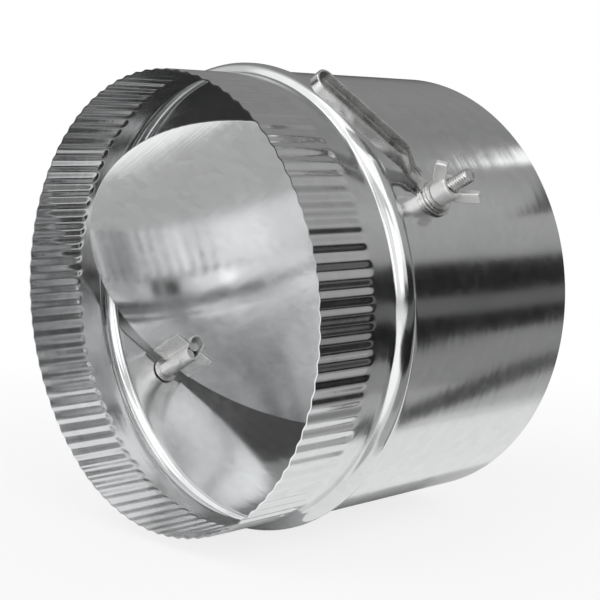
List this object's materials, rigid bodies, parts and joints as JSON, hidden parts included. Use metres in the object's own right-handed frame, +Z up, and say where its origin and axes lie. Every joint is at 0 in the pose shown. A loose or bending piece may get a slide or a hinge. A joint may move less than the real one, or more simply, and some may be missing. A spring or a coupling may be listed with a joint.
{
  "type": "manual duct damper",
  "caption": "Short round sheet-metal duct with a crimped collar and bead, holding a round blade that a lever turns and a wing nut locks.",
  "frame": {"origin": "on the duct's axis, in the plane of the crimped mouth's rim", "axes": "+Y along the duct from the crimped mouth to the plain end, +Z up, the handle on the +X side"},
  "size_m": [0.2165, 0.1524, 0.2102],
  "materials": {
    "galvanised_sheet": "bright galvanised sheet, faint spangle",
    "zinc_plated_steel": "bright zinc plate",
    "pressed_steel": "bright galvanised pressing",
    "spring_steel": "plain spring steel"
  },
  "bodies": {
    "duct": {"duct_body": "galvanised_sheet", "seat_washer": "zinc_plated_steel", "pivot_washer": "zinc_plated_steel"},
    "blade": {"damper_blade": "galvanised_sheet", "handle_clip": "pressed_steel", "pivot_clip": "pressed_steel", "handle_stud": "zinc_plated_steel", "pivot_pin": "zinc_plated_steel", "handle_inner_washer": "zinc_plated_steel", "pivot_inner_washer": "zinc_plated_steel", "handle": "pressed_steel", "nut_washer": "zinc_plated_steel", "pivot_retainer": "spring_steel"},
    "wing_nut": {"wing_nut": "zinc_plated_steel"}
  },
  "joints": [
    {"name": "blade_turn", "type": "hinge", "parent": "duct", "child": "blade", "pos_m": [0, 0.0742, 0], "axis": [0.891, 0, 0.454], "range_deg": [-45, 45]},
    {"name": "wing_nut_turn", "type": "hinge", "parent": "blade", "child": "wing_nut", "pos_m": [0.094, 0.0742, 0.0479], "axis": [0.891, 0, 0.454], "range_deg": [0, 720]}
  ]
}
